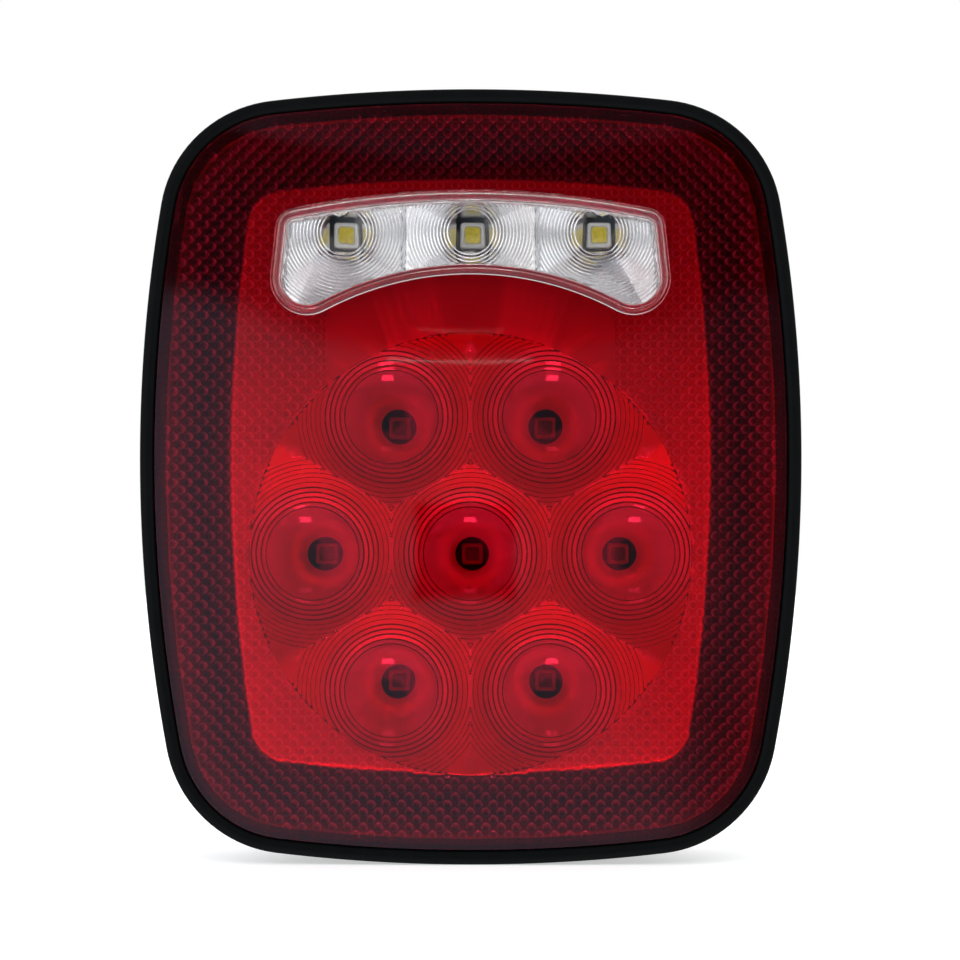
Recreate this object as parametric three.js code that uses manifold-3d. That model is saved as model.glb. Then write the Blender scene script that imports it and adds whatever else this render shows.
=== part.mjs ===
// Trailer tail light: a sealed LED combination lamp. A red stop, tail and turn lens with a clear
// reversing window closes a black flanged housing. Inside are a seven-cup reflector, a three-pocket
// reflector, and one circuit board with its LEDs and driver parts. Behind are three studs with
// their nuts and washers, a rubber gasket and a four-pin inlet.
//
// Millimetres. Each piece is modelled in lamp coordinates: x to the right and y up as seen from the
// front, z forward from the mounting plane. The last lines turn the lamp so that +Z is up and the
// lens faces -Y, with the origin at the middle of the mounting plane.

import * as THREE from "three";
import { mergeVertices } from "three/addons/utils/BufferGeometryUtils.js";
import Module from "manifold-3d";

const wasm = await Module();
wasm.setup();

// ---------------------------------------------------------------- driving dimensions

const GAP = 0.3; // clearance between pieces that meet

// Front outline of the lamp: bowed sides and ends with round corners, a little wider at the top.
const LAMP = { halfWidth: 82.5, halfHeight: 96.75, sideRadius: 391, endRadius: 424, cornerRadius: 31.6 };
const KEYSTONE = 0.00018; // share by which each millimetre of height widens an outline

// Depths, forward from the mounting plane.
const GASKET_THICKNESS = 1.7;
const BACK = GASKET_THICKNESS + GAP;
const WALL = 2.5;
const FLOOR = BACK + WALL;
const FLANGE_BACK = 34;
const LENS_LEDGE = 37.7;
const RIM_FRONT = 41.5;
const BOARD_FRONT = 12.4;
const BOARD_THICKNESS = 1.6;
const REFLECTOR_FRONT = 38;
const REFLECTOR_SKIN = 1.2;

// Housing.
const BASE_INSET = 12;
const FLANGE_INSET = 4.6;
const RIM_WIDTH = 3.5;
const LEDGE_WIDTH = 3.6;

// Lens: its face falls CROWN_FALL from the middle to the rim.
const LENS_THICKNESS = 2.5;
const LENS_INSET = RIM_WIDTH + GAP;
const LENS_FRONT = 45;
const CROWN_FALL = 3.5;

// Reversing window: two concentric-looking bows joined by leaning sides, with large lower lobes.
const WINDOW = { top: 71.1, topRadius: 222, bottom: 49.6, bottomRadius: 77, side: 55 };
const WINDOW_LEAN = THREE.MathUtils.degToRad(6);
const WINDOW_TOP_CORNER = 5;
const WINDOW_LOBE = 9.5;
const WINDOW_LIP = 0.8;
const WINDOW_SEAT = 2.6; // width of the step in the red lens that carries the window

// Optics.
const BEZEL = { halfWidth: 60.2, halfHeight: 74.5, sideRadius: 430, endRadius: 402, cornerRadius: 9 };
const OPTIC_CENTRE = new THREE.Vector2(0, -19.6);
const RED_SPACING = 39.2;
const RED_COUNT = 6; // around one in the middle
const WHITE_SPACING = 33;
const WHITE_HEIGHT = 63.8;
const LED_SIZE = 3;
const LED_HEIGHT = 0.9;
const CUP_MOUTH = 12.2;
const CUP_THROAT = 2.6;
const CUP_DEPTH = 22.5;

// Mounting hardware: 1/4-20 studs, shown clamped to a 3 mm panel.
const STUDS = [
  [-38, 46],
  [38, 46],
  [0, -62],
];
const STUD_RADIUS = 3.175;
const STUD_REACH = 25.4;
const PANEL = 3;
const WASHER_RADIUS = 7.9;
const LOCK_WASHER_RADIUS = 6.2;
const WASHER_THICKNESS = 1.6;
const NUT_THICKNESS = 5.6;
const NUT_FLATS = 11.1;

// Inlet.
const INLET_CENTRE = new THREE.Vector2(0, -24);
const INLET = { halfWidth: 13, halfHeight: 7.5, wall: 1.8, reach: 13, cornerRadius: 2 };
const BLADE = { width: 2.8, thickness: 0.8, pitch: 5 };

// ---------------------------------------------------------------- materials

const paint = (color, roughness, metalness = 0, more = {}) =>
  new THREE.MeshStandardMaterial({ color, roughness, metalness, ...more });

const blackPlastic = () => paint(0x101314, 0.45);
const redLens = () => paint(0x9a0618, 0.08, 0, { transparent: true, opacity: 0.85 });
const clearLens = () => paint(0xe8ecee, 0.06, 0, { transparent: true, opacity: 0.4 });
const metallised = () => paint(0xd9dcde, 0.12, 1);
const sealant = () => paint(0x1b1c1e, 0.8);
const rubber = () => paint(0x16171a, 0.9);
const solderMask = () => paint(0x0d0f10, 0.5);
const zincPlate = () => paint(0xb9bcbb, 0.35, 1);
const tinPlate = () => paint(0xc9c6bd, 0.3, 1);
const ledBody = () => paint(0xe9e6df, 0.5);
const phosphor = () => paint(0xd9c02e, 0.5);
const ceramicBody = () => paint(0x2a2c30, 0.6);

// ---------------------------------------------------------------- outlines

const polar = (cx, cy, r, a) => new THREE.Vector2(cx + r * Math.cos(a), cy + r * Math.sin(a));

// Points on an arc from angle a to angle b in n steps, leaving out the last one.
function arc(cx, cy, r, a, b, n) {
  return Array.from({ length: n }, (_, k) => polar(cx, cy, r, a + ((b - a) * k) / n));
}

// Where two circles cross, on the side with positive x and y.
function circlesCross(p, rp, q, rq) {
  const along = q.clone().sub(p);
  const d = along.length();
  const t = (rp * rp - rq * rq + d * d) / (2 * d);
  const h = Math.sqrt(rp * rp - t * t);
  along.divideScalar(d);
  const middle = p.clone().addScaledVector(along, t);
  return [h, -h]
    .map((s) => middle.clone().add(new THREE.Vector2(-along.y, along.x).multiplyScalar(s)))
    .find((c) => c.x > 0 && c.y > 0);
}

// A bowed rectangle's outline, counterclockwise from its rightmost point, moved in by inset.
function bowedOutline(form, inset = 0) {
  const side = new THREE.Vector2(form.halfWidth - form.sideRadius, 0);
  const end = new THREE.Vector2(0, form.halfHeight - form.endRadius);
  const r = form.cornerRadius;
  const corner = circlesCross(side, form.sideRadius - r, end, form.endRadius - r);
  const leaveSide = corner.clone().sub(side).angle();
  const meetEnd = corner.clone().sub(end).angle();
  const quarter = [
    ...arc(side.x, side.y, form.sideRadius - inset, 0, leaveSide, 3),
    ...arc(corner.x, corner.y, r - inset, leaveSide, meetEnd, 5),
    ...arc(end.x, end.y, form.endRadius - inset, meetEnd, Math.PI / 2, 3),
    new THREE.Vector2(0, form.halfHeight - inset),
  ];
  const half = [...quarter, ...mirrored(quarter).slice(1)];
  const whole = [...half, ...half.map((p) => new THREE.Vector2(p.x, -p.y)).reverse().slice(1, -1)];
  return whole.map((p) => new THREE.Vector2(p.x * (1 + KEYSTONE * p.y), p.y));
}

// The points mirrored left to right, in the opposite order.
function mirrored(points) {
  return points.map((p) => new THREE.Vector2(-p.x, p.y)).reverse();
}

// The upper point of a line at distance c from the origin, along normal n, that is r from a centre.
function lineMeetsCircle(n, c, centre, r) {
  const foot = n.clone().multiplyScalar(c);
  const along = new THREE.Vector2(-n.y, n.x);
  const back = foot.clone().sub(centre);
  const b = back.dot(along);
  return foot.addScaledVector(along, -b + Math.sqrt(b * b - back.lengthSq() + r * r));
}

// The reversing window's outline, counterclockwise from the middle of its lower edge, grown by offset.
function windowOutline(offset = 0) {
  const normal = new THREE.Vector2(Math.cos(WINDOW_LEAN), Math.sin(WINDOW_LEAN));
  const over = new THREE.Vector2(0, WINDOW.top - WINDOW.topRadius);
  const under = new THREE.Vector2(0, WINDOW.bottom - WINDOW.bottomRadius);
  const corner = lineMeetsCircle(
    normal, WINDOW.side - WINDOW_TOP_CORNER, over, WINDOW.topRadius - WINDOW_TOP_CORNER);
  const lobe = lineMeetsCircle(normal, WINDOW.side - WINDOW_LOBE, under, WINDOW.bottomRadius + WINDOW_LOBE);
  const toLobe = lobe.clone().sub(under).angle();
  const toCorner = corner.clone().sub(over).angle();
  const lowerBow = arc(under.x, under.y, WINDOW.bottomRadius - offset, Math.PI / 2, toLobe, 5);
  const right = [
    ...lowerBow.slice(1),
    ...arc(lobe.x, lobe.y, WINDOW_LOBE + offset, toLobe + Math.PI, WINDOW_LEAN + 2 * Math.PI, 7),
    polar(lobe.x, lobe.y, WINDOW_LOBE + offset, WINDOW_LEAN),
    ...arc(corner.x, corner.y, WINDOW_TOP_CORNER + offset, WINDOW_LEAN, toCorner, 4),
    ...arc(over.x, over.y, WINDOW.topRadius + offset, toCorner, Math.PI / 2, 4),
  ];
  const top = new THREE.Vector2(0, WINDOW.top + offset);
  return [lowerBow[0], ...right, top, ...mirrored(right)];
}

// A rectangle with chamfered corners about a centre.
function chamferedBox(centre, halfWidth, halfHeight, cut) {
  const corners = [
    [halfWidth, -halfHeight + cut], [halfWidth, halfHeight - cut],
    [halfWidth - cut, halfHeight], [-halfWidth + cut, halfHeight],
    [-halfWidth, halfHeight - cut], [-halfWidth, -halfHeight + cut],
    [-halfWidth + cut, -halfHeight], [halfWidth - cut, -halfHeight],
  ];
  return corners.map(([x, y]) => new THREE.Vector2(centre.x + x, centre.y + y));
}

const circle = (x, y, r, n = 16) => arc(x, y, r, 0, 2 * Math.PI, n);

// ---------------------------------------------------------------- solids

// A solid for booleans, from a closed geometry.
function solid(geometry) {
  const bare = geometry.clone();
  bare.deleteAttribute("normal");
  bare.deleteAttribute("uv");
  const merged = mergeVertices(bare, 1e-4);
  return new wasm.Manifold(
    new wasm.Mesh({
      numProp: 3,
      vertProperties: new Float32Array(merged.attributes.position.array),
      triVerts: new Uint32Array(merged.index.array),
    }),
  );
}

// A geometry from a boolean's result.
function geometryOf(manifold) {
  const mesh = manifold.getMesh();
  const geometry = new THREE.BufferGeometry();
  geometry.setAttribute("position", new THREE.BufferAttribute(mesh.vertProperties, 3));
  geometry.setIndex(new THREE.BufferAttribute(mesh.triVerts, 1));
  const flat = geometry.toNonIndexed();
  flat.computeVertexNormals();
  return flat;
}

// An outline pushed straight from depth back to depth front, with holes through it.
function prism(outline, back, front, holes = []) {
  const shape = new THREE.Shape(outline);
  shape.holes = holes.map((hole) => new THREE.Path(hole));
  const geometry = new THREE.ExtrudeGeometry(shape, { depth: front - back, bevelEnabled: false });
  return geometry.translate(0, 0, back);
}

// A profile of [radius, depth] pairs turned about the z axis through (x, y).
function turned(profile, x = 0, y = 0, segments = 16) {
  const points = profile.map(([r, z]) => new THREE.Vector2(r, z));
  return new THREE.LatheGeometry(points, segments).rotateX(Math.PI / 2).translate(x, y, 0);
}

// A closed skin through rings of equal point counts. An open stack is closed with a fan at each
// end, and a closed one joins its last ring to its first.
function skin(rings, closed = false) {
  const count = rings[0].length;
  const positions = rings.flat().flatMap((p) => [p.x, p.y, p.z]);
  const index = [];
  const bands = closed ? rings.length : rings.length - 1;
  for (let i = 0; i < bands; i++) {
    for (let j = 0; j < count; j++) {
      const [a, b] = [i * count + j, i * count + ((j + 1) % count)];
      const next = ((i + 1) % rings.length) * count;
      const [c, d] = [next + j, next + ((j + 1) % count)];
      index.push(a, b, d, a, d, c);
    }
  }
  if (!closed) {
    const [first, last] = [rings.length * count, rings.length * count + 1];
    positions.push(0, 0, rings[0][0].z, 0, 0, rings.at(-1)[0].z);
    const start = (rings.length - 1) * count;
    for (let j = 0; j < count; j++) {
      const k = (j + 1) % count;
      index.push(first, k, j, last, start + j, start + k);
    }
  }
  const geometry = new THREE.BufferGeometry();
  geometry.setAttribute("position", new THREE.Float32BufferAttribute(positions, 3));
  geometry.setIndex(index);
  geometry.computeVertexNormals();
  return geometry;
}

// The lamp outline at an inset and a depth, shrunk towards its middle by scale.
function lampRing([inset, z], scale = 1) {
  return bowedOutline(LAMP, inset).map((p) => new THREE.Vector3(p.x * scale, p.y * scale, z));
}

const union = (parts) => parts.reduce((all, part) => all.add(part));
const cutAll = (body, tools) => tools.reduce((rest, tool) => rest.subtract(tool), body);

// ---------------------------------------------------------------- layout

const redPlaces = [
  OPTIC_CENTRE,
  ...Array.from({ length: RED_COUNT }, (_, k) =>
    polar(OPTIC_CENTRE.x, OPTIC_CENTRE.y, RED_SPACING, (k * 2 * Math.PI) / RED_COUNT)),
];
const whitePlaces = [-1, 0, 1].map((k) => new THREE.Vector2(k * WHITE_SPACING, WHITE_HEIGHT));
const screwPlaces = [-1, 1].flatMap((side) =>
  [[50, 36], [52, -2], [46, -62]].map(([x, y]) => new THREE.Vector2(side * x, y)));
const legPlaces = [-1, 1].flatMap((side) =>
  [[54, 28], [40, -68]].map(([x, y]) => new THREE.Vector2(side * x, y)));
const bladePlaces = [-1.5, -0.5, 0.5, 1.5].map(
  (k) => new THREE.Vector2(INLET_CENTRE.x + k * BLADE.pitch, INLET_CENTRE.y));

// ---------------------------------------------------------------- housing

const SCREW_RADIUS = 1.3;
const BOSS_RADIUS = 4;
const STUD_HEAD = { radius: 6, thickness: 3 };
const POCKET_WALL = 2.5;

// A tapered tub with a round rim. The ledge inside the rim carries the lens.
function housing() {
  const outside = [
    [BASE_INSET + 1.5, BACK],
    [BASE_INSET, BACK + 1.2],
    [FLANGE_INSET, FLANGE_BACK],
    [0.8, FLANGE_BACK + 0.8],
    [0, FLANGE_BACK + 1.7],
    [0, RIM_FRONT - 1.8],
    [0.9, RIM_FRONT - 0.5],
    [2.2, RIM_FRONT],
    [RIM_WIDTH - 0.3, RIM_FRONT - 0.5],
    [RIM_WIDTH, RIM_FRONT - 1.4],
  ];
  const inside = [
    [RIM_WIDTH, LENS_LEDGE],
    [RIM_WIDTH + LEDGE_WIDTH, LENS_LEDGE],
    [RIM_WIDTH + LEDGE_WIDTH, FLANGE_BACK],
    [BASE_INSET + 2.7, FLOOR + 0.9],
    [BASE_INSET + 3.5, FLOOR],
  ];
  const tub = solid(skin([...outside, ...inside].map((step) => lampRing(step))));
  const root = FLOOR - 1;
  const bosses = screwPlaces.map((p) =>
    solid(prism(circle(p.x, p.y, BOSS_RADIUS), root, BOARD_FRONT - BOARD_THICKNESS - GAP)));
  const pockets = STUDS.map(([x, y]) =>
    solid(prism(circle(x, y, STUD_HEAD.radius + POCKET_WALL), root, FLOOR + GAP + STUD_HEAD.thickness)));
  const pilots = screwPlaces.map((p) =>
    solid(prism(circle(p.x, p.y, SCREW_RADIUS + GAP, 12), FLOOR, BOARD_FRONT)));
  const studHoles = STUDS.map(([x, y]) =>
    solid(turned(
      [[0, 0], [STUD_RADIUS + GAP, 0], [STUD_RADIUS + GAP, FLOOR], [STUD_HEAD.radius + GAP, FLOOR],
        [STUD_HEAD.radius + GAP, BOARD_FRONT], [0, BOARD_FRONT]], x, y)));
  const inletHole = solid(prism(
    chamferedBox(INLET_CENTRE, INLET.halfWidth + GAP, INLET.halfHeight + GAP, INLET.cornerRadius),
    0, BOARD_FRONT));
  return geometryOf(cutAll(union([tub, ...bosses, ...pockets]), [...pilots, ...studHoles, inletHole]));
}

// ---------------------------------------------------------------- lens, window and seal

// Depth of the lens face at a share of the way from its middle to the rim.
const lensDepth = (share) => LENS_FRONT - CROWN_FALL * share ** 2;

// The lens before its window is cut, moved forward by shift: crown and skirt.
function lensShell(shift = 0) {
  const shares = [1, 0.8, 0.6, 0.3];
  const face = (thickness) => {
    const inset = LENS_INSET + thickness;
    const skirt = lampRing([inset, LENS_LEDGE + 4 * GAP]);
    return [skirt, ...shares.map((share) => lampRing([inset, lensDepth(share) - thickness], share))];
  };
  return solid(skin([...face(LENS_THICKNESS).reverse(), ...face(0)])).translate([0, 0, shift]);
}

// The window's outline, grown by offset, pushed right through the lens.
const throughLens = (offset = 0) => solid(prism(windowOutline(offset), 0, 2 * LENS_FRONT));

// The red lens, with a stepped opening: its lower half thickness reaches in as the window's seat.
function redLensCover() {
  const step = throughLens().intersect(lensShell(LENS_THICKNESS / 2));
  return geometryOf(lensShell().subtract(step).subtract(throughLens(-WINDOW_SEAT)));
}

// The clear window: a cap that sits on the step and stands proud as a lip, and a plug through it.
function backupWindow() {
  const lip = lensShell(WINDOW_LIP);
  const cap = lip.intersect(lensShell(LENS_THICKNESS / 2 + GAP)).intersect(throughLens(-GAP));
  const plug = lip.add(lensShell(-LENS_THICKNESS / 2)).intersect(throughLens(-WINDOW_SEAT - GAP));
  return geometryOf(cap.add(plug));
}

// A bead of sealant under the lens skirt.
function lensSeal() {
  const [outer, inner] = [LENS_INSET, LENS_INSET + LENS_THICKNESS];
  const [low, high] = [LENS_LEDGE + GAP, LENS_LEDGE + 3 * GAP];
  const section = [[outer, low], [outer, high], [inner, high], [inner, low]];
  return skin(section.map((step) => lampRing(step)), true);
}

// ---------------------------------------------------------------- reflectors

const LEG_RADIUS = 2.2;
const BEZEL_CUT = -3.2; // the window outline's offset where the bezel is open

// A reflector cup's [radius, depth] at a share of the way from throat to mouth. Its floor is a
// shallow dish, and its wall is steep.
function cupPoint(share, offset) {
  const radius = CUP_THROAT + (CUP_MOUTH - CUP_THROAT) * share ** 0.4;
  return [radius + offset, REFLECTOR_FRONT - CUP_DEPTH * (1 - share)];
}

// A bezel plate with seven cups and four legs, open where the three-pocket reflector shows.
function mainReflector() {
  const shares = [0, 0.04, 0.2, 1];
  const cupWall = [
    ...shares.map((s) => cupPoint(s, REFLECTOR_SKIN)),
    ...shares.map((s) => cupPoint(s, 0)).reverse(),
    cupPoint(0, REFLECTOR_SKIN),
  ];
  const back = REFLECTOR_FRONT - REFLECTOR_SKIN;
  const plate = solid(prism(bowedOutline(BEZEL), back, REFLECTOR_FRONT, [windowOutline(BEZEL_CUT)]));
  const mouths = redPlaces.map((p) =>
    solid(prism(circle(p.x, p.y, CUP_MOUTH), back - 1, REFLECTOR_FRONT + 1)));
  const cups = redPlaces.map((p) => solid(turned(cupWall, p.x, p.y)));
  const legs = legPlaces.map((p) =>
    solid(prism(circle(p.x, p.y, LEG_RADIUS, 10), BOARD_FRONT + GAP, back + REFLECTOR_SKIN / 2)));
  return geometryOf(union([cutAll(plate, mouths), ...cups, ...legs]));
}

// A four-sided funnel's solid core from its mouth corners down to a square throat at a white LED.
function funnel(mouth, led, throat, back, front) {
  const square = [[1, -1], [1, 1], [-1, 1], [-1, -1]].map(
    ([x, y]) => new THREE.Vector3(led.x + x * throat, led.y + y * throat, back));
  const corners = mouth.map(([x, y]) => new THREE.Vector3(x, y, front));
  const positions = [...square, ...corners].flatMap((p) => [p.x, p.y, p.z]);
  const sides = [0, 1, 2, 3].flatMap((j) => {
    const k = (j + 1) % 4;
    return [j, k, k + 4, j, k + 4, j + 4];
  });
  const geometry = new THREE.BufferGeometry();
  geometry.setAttribute("position", new THREE.Float32BufferAttribute(positions, 3));
  geometry.setIndex([0, 2, 1, 0, 3, 2, 4, 5, 6, 4, 6, 7, ...sides]);
  return solid(geometry);
}

// Three funnels side by side under one lapping flange.
function backupReflector() {
  const front = REFLECTOR_FRONT - REFLECTOR_SKIN - GAP;
  const back = BOARD_FRONT + LED_HEIGHT + 0.8;
  const throat = LED_SIZE / 2 + 0.6;
  const middle = [[16.2, 50.3], [16.2, 68.8], [-16.2, 68.8], [-16.2, 50.3]];
  const right = [[45.2, 39.7], [48.5, 66.6], [16.8, 68.8], [16.8, 49.8]];
  const left = right.map(([x, y]) => [-x, y]);
  const mouths = [[left[3], left[2], left[1], left[0]], middle, right];
  const grown = (mouth, led, by) => mouth.map(([x, y]) => [
    x + by * Math.sign(x - led.x), y + by * Math.sign(y - led.y)]);
  const flange = solid(prism(windowOutline(2.5), front - REFLECTOR_SKIN, front));
  const outer = mouths.map((mouth, k) =>
    funnel(grown(mouth, whitePlaces[k], REFLECTOR_SKIN), whitePlaces[k], throat + REFLECTOR_SKIN, back,
      front - REFLECTOR_SKIN / 2));
  const inner = mouths.map((mouth, k) =>
    funnel(grown(mouth, whitePlaces[k], 0.01), whitePlaces[k], throat, back - 0.01, front + 0.01));
  return geometryOf(cutAll(union([flange, ...outer]), inner));
}

// ---------------------------------------------------------------- circuit board and its parts

const BOARD = { halfWidth: 58, halfHeight: 73.5, sideRadius: 430, endRadius: 402, cornerRadius: 8 };

function circuitBoard() {
  const screwHoles = screwPlaces.map((p) => circle(p.x, p.y, SCREW_RADIUS + 2 * GAP, 12));
  const bladeSlots = bladePlaces.map((p) =>
    chamferedBox(p, BLADE.width / 2 + GAP, BLADE.thickness / 2 + GAP, 0.3).reverse());
  const holes = [...screwHoles, ...bladeSlots];
  return prism(bowedOutline(BOARD), BOARD_FRONT - BOARD_THICKNESS, BOARD_FRONT, holes);
}

// A part with a chamfered rectangular body that stands on the board.
const onBoard = (x, y, width, height, tall, cut = 0.3) =>
  prism(chamferedBox(new THREE.Vector2(x, y), width / 2, height / 2, cut),
    BOARD_FRONT + GAP / 3, BOARD_FRONT + GAP / 3 + tall);

const ledPackage = (place) => onBoard(place.x, place.y, LED_SIZE, LED_SIZE, LED_HEIGHT, 0.35);

function boardScrew(p) {
  const headBase = BOARD_FRONT + GAP / 3;
  return turned(
    [[0, FLOOR + 1], [SCREW_RADIUS, FLOOR + 1.8], [SCREW_RADIUS, headBase], [2.8, headBase],
      [2.8, headBase + 1], [1.8, headBase + 1.9], [0, headBase + 2]], p.x, p.y, 12);
}

function filterCapacitor() {
  const base = BOARD_FRONT + GAP / 3;
  return turned([[0, base], [3.15, base], [3.15, base + 7.2], [2.7, base + 7.7], [0, base + 7.7]], 26, 28);
}

// ---------------------------------------------------------------- inlet

const INLET_FLANGE = 3.4;
const INLET_SEAL = { back: FLOOR + GAP, front: FLOOR + 3 * GAP };

// A socket whose flange sits inside the housing and whose shroud reaches out behind it.
function inletSocket() {
  const flangeBack = INLET_SEAL.front + GAP;
  const grown = (by) =>
    chamferedBox(INLET_CENTRE, INLET.halfWidth + by, INLET.halfHeight + by, INLET.cornerRadius);
  const shroud = solid(prism(grown(0), -INLET.reach, flangeBack + 0.5));
  const flange = solid(prism(grown(INLET_FLANGE), flangeBack, flangeBack + 1.5));
  const hollow = solid(prism(grown(-INLET.wall), -INLET.reach - 1, BACK - 1));
  const slots = bladePlaces.map((p) =>
    solid(prism(chamferedBox(p, BLADE.width / 2 + GAP, BLADE.thickness / 2 + GAP, 0.3), -5, FLOOR + 8)));
  return geometryOf(cutAll(shroud.add(flange), [hollow, ...slots]));
}

function inletSeal() {
  const grown = (by) =>
    chamferedBox(INLET_CENTRE, INLET.halfWidth + by, INLET.halfHeight + by, INLET.cornerRadius);
  return prism(grown(INLET_FLANGE - 0.4), INLET_SEAL.back, INLET_SEAL.front, [grown(GAP).reverse()]);
}

// A flat blade from the socket, through the board, with a tapered tip.
function terminalBlade(p) {
  const [tip, top] = [-INLET.reach + 5.5, BOARD_FRONT + 1];
  const half = BLADE.width / 2;
  const outline = [[-half, top], [-half, tip + 1.2], [-half / 2, tip], [half / 2, tip], [half, tip + 1.2],
    [half, top]].map(([x, z]) => new THREE.Vector2(x, z));
  const depth = BLADE.thickness;
  return new THREE.ExtrudeGeometry(new THREE.Shape(outline), { depth, bevelEnabled: false })
    .translate(0, 0, -depth / 2).rotateX(Math.PI / 2).translate(p.x, p.y, 0);
}

// ---------------------------------------------------------------- mounting hardware

function mountingStud([x, y]) {
  const head = FLOOR + GAP;
  return turned(
    [[0, -STUD_REACH], [STUD_RADIUS - 1, -STUD_REACH], [STUD_RADIUS, -STUD_REACH + 1],
      [STUD_RADIUS, head], [STUD_HEAD.radius, head], [STUD_HEAD.radius, head + STUD_HEAD.thickness],
      [0, head + STUD_HEAD.thickness]], x, y);
}

const ringOf = (outer, inner, back, front, x, y) =>
  turned([[inner, back], [outer, back], [outer, front], [inner, front], [inner, back]], x, y, 20);

const washerBack = -PANEL - WASHER_THICKNESS;
const lockBack = washerBack - GAP - WASHER_THICKNESS;
const nutBack = lockBack - GAP - NUT_THICKNESS;

const flatWasher = ([x, y]) => ringOf(WASHER_RADIUS, STUD_RADIUS + GAP, washerBack, -PANEL, x, y);

// A split ring, open by a narrow gap.
function lockWasher([x, y]) {
  const halfSplit = 0.12;
  const bore = STUD_RADIUS + GAP;
  const [start, stop, steps] = [halfSplit, 2 * Math.PI - halfSplit, 18];
  const sweep = (radius, from, to) => [...arc(x, y, radius, from, to, steps), polar(x, y, radius, to)];
  const outline = [...sweep(LOCK_WASHER_RADIUS, start, stop), ...sweep(bore, stop, start)];
  return prism(outline, lockBack, lockBack + WASHER_THICKNESS);
}

// A hexagon nut with both faces chamfered.
function hexNut([x, y]) {
  const corner = NUT_FLATS / Math.sqrt(3);
  const hexagon = solid(prism(circle(x, y, corner, 6), nutBack, nutBack + NUT_THICKNESS));
  const face = NUT_FLATS / 2;
  const [low, high] = [nutBack, nutBack + NUT_THICKNESS];
  const chamfer = solid(turned(
    [[0, low], [face, low], [corner + 0.1, low + 0.6], [corner + 0.1, high - 0.6], [face, high], [0, high]],
    x, y, 24));
  const bore = solid(prism(circle(x, y, STUD_RADIUS + GAP, 20), low - 1, high + 1));
  return geometryOf(hexagon.intersect(chamfer).subtract(bore));
}

// A rubber pad between the housing and the panel.
function mountingGasket() {
  const holes = STUDS.map(([x, y]) => circle(x, y, STUD_RADIUS + 2 * GAP));
  const inlet = chamferedBox(
    INLET_CENTRE, INLET.halfWidth + 2 * GAP, INLET.halfHeight + 2 * GAP, INLET.cornerRadius);
  return prism(bowedOutline(LAMP, BASE_INSET + 2), 0, GASKET_THICKNESS, [...holes, inlet]);
}

// ---------------------------------------------------------------- assembly

const lamp = new THREE.Group();

function place(name, geometry, material) {
  const mesh = new THREE.Mesh(geometry, material);
  mesh.name = name;
  lamp.add(mesh);
}

place("housing", housing(), blackPlastic());
place("red_lens", redLensCover(), redLens());
place("backup_window", backupWindow(), clearLens());
place("lens_seal", lensSeal(), sealant());
place("main_reflector", mainReflector(), metallised());
place("backup_reflector", backupReflector(), metallised());
place("circuit_board", circuitBoard(), solderMask());

redPlaces.forEach((p, k) => place(`red_led_${k + 1}`, ledPackage(p), ledBody()));
whitePlaces.forEach((p, k) => place(`white_led_${k + 1}`, ledPackage(p), phosphor()));
screwPlaces.forEach((p, k) => place(`board_screw_${k + 1}`, boardScrew(p), zincPlate()));

[[-10, 14], [10, 14]].forEach(([x, y], k) =>
  place(`driver_chip_${k + 1}`, onBoard(x, y, 5, 4, 1.6), ceramicBody()));
[[-34, 12], [34, 12], [-22, 20], [-22, 26]].forEach(([x, y], k) =>
  place(`ballast_resistor_${k + 1}`, onBoard(x, y, 6.3, 3.2, 0.7, 0.2), ceramicBody()));
[-8, 0, 8].forEach((x, k) =>
  place(`rectifier_diode_${k + 1}`, onBoard(x, 27, 4.4, 2.6, 2.1), ceramicBody()));
place("surge_suppressor", onBoard(34, 22, 4.6, 3.6, 2.3), ceramicBody());
place("filter_capacitor", filterCapacitor(), tinPlate());

place("inlet_socket", inletSocket(), blackPlastic());
place("inlet_seal", inletSeal(), sealant());
["ground", "tail", "stop_turn", "backup"].forEach((job, k) =>
  place(`${job}_terminal`, terminalBlade(bladePlaces[k]), tinPlate()));

place("mounting_gasket", mountingGasket(), rubber());
STUDS.forEach((spot, k) => {
  place(`mounting_stud_${k + 1}`, mountingStud(spot), zincPlate());
  place(`flat_washer_${k + 1}`, flatWasher(spot), zincPlate());
  place(`lock_washer_${k + 1}`, lockWasher(spot), zincPlate());
  place(`mounting_nut_${k + 1}`, hexNut(spot), zincPlate());
});

lamp.rotation.x = Math.PI / 2;

export default lamp;
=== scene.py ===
"""Looks of the trailer tail light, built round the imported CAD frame.

Shapes are in lamp millimetres: u to the right, v up, d forward from the mounting plane. The lens
faces -Y, so lamp (u, v, d) is world (u, -d, v) / 1000.
"""

import math
from functools import reduce

import bmesh
import bpy
import numpy as np
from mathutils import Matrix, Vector
from mathutils.geometry import delaunay_2d_cdt

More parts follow.
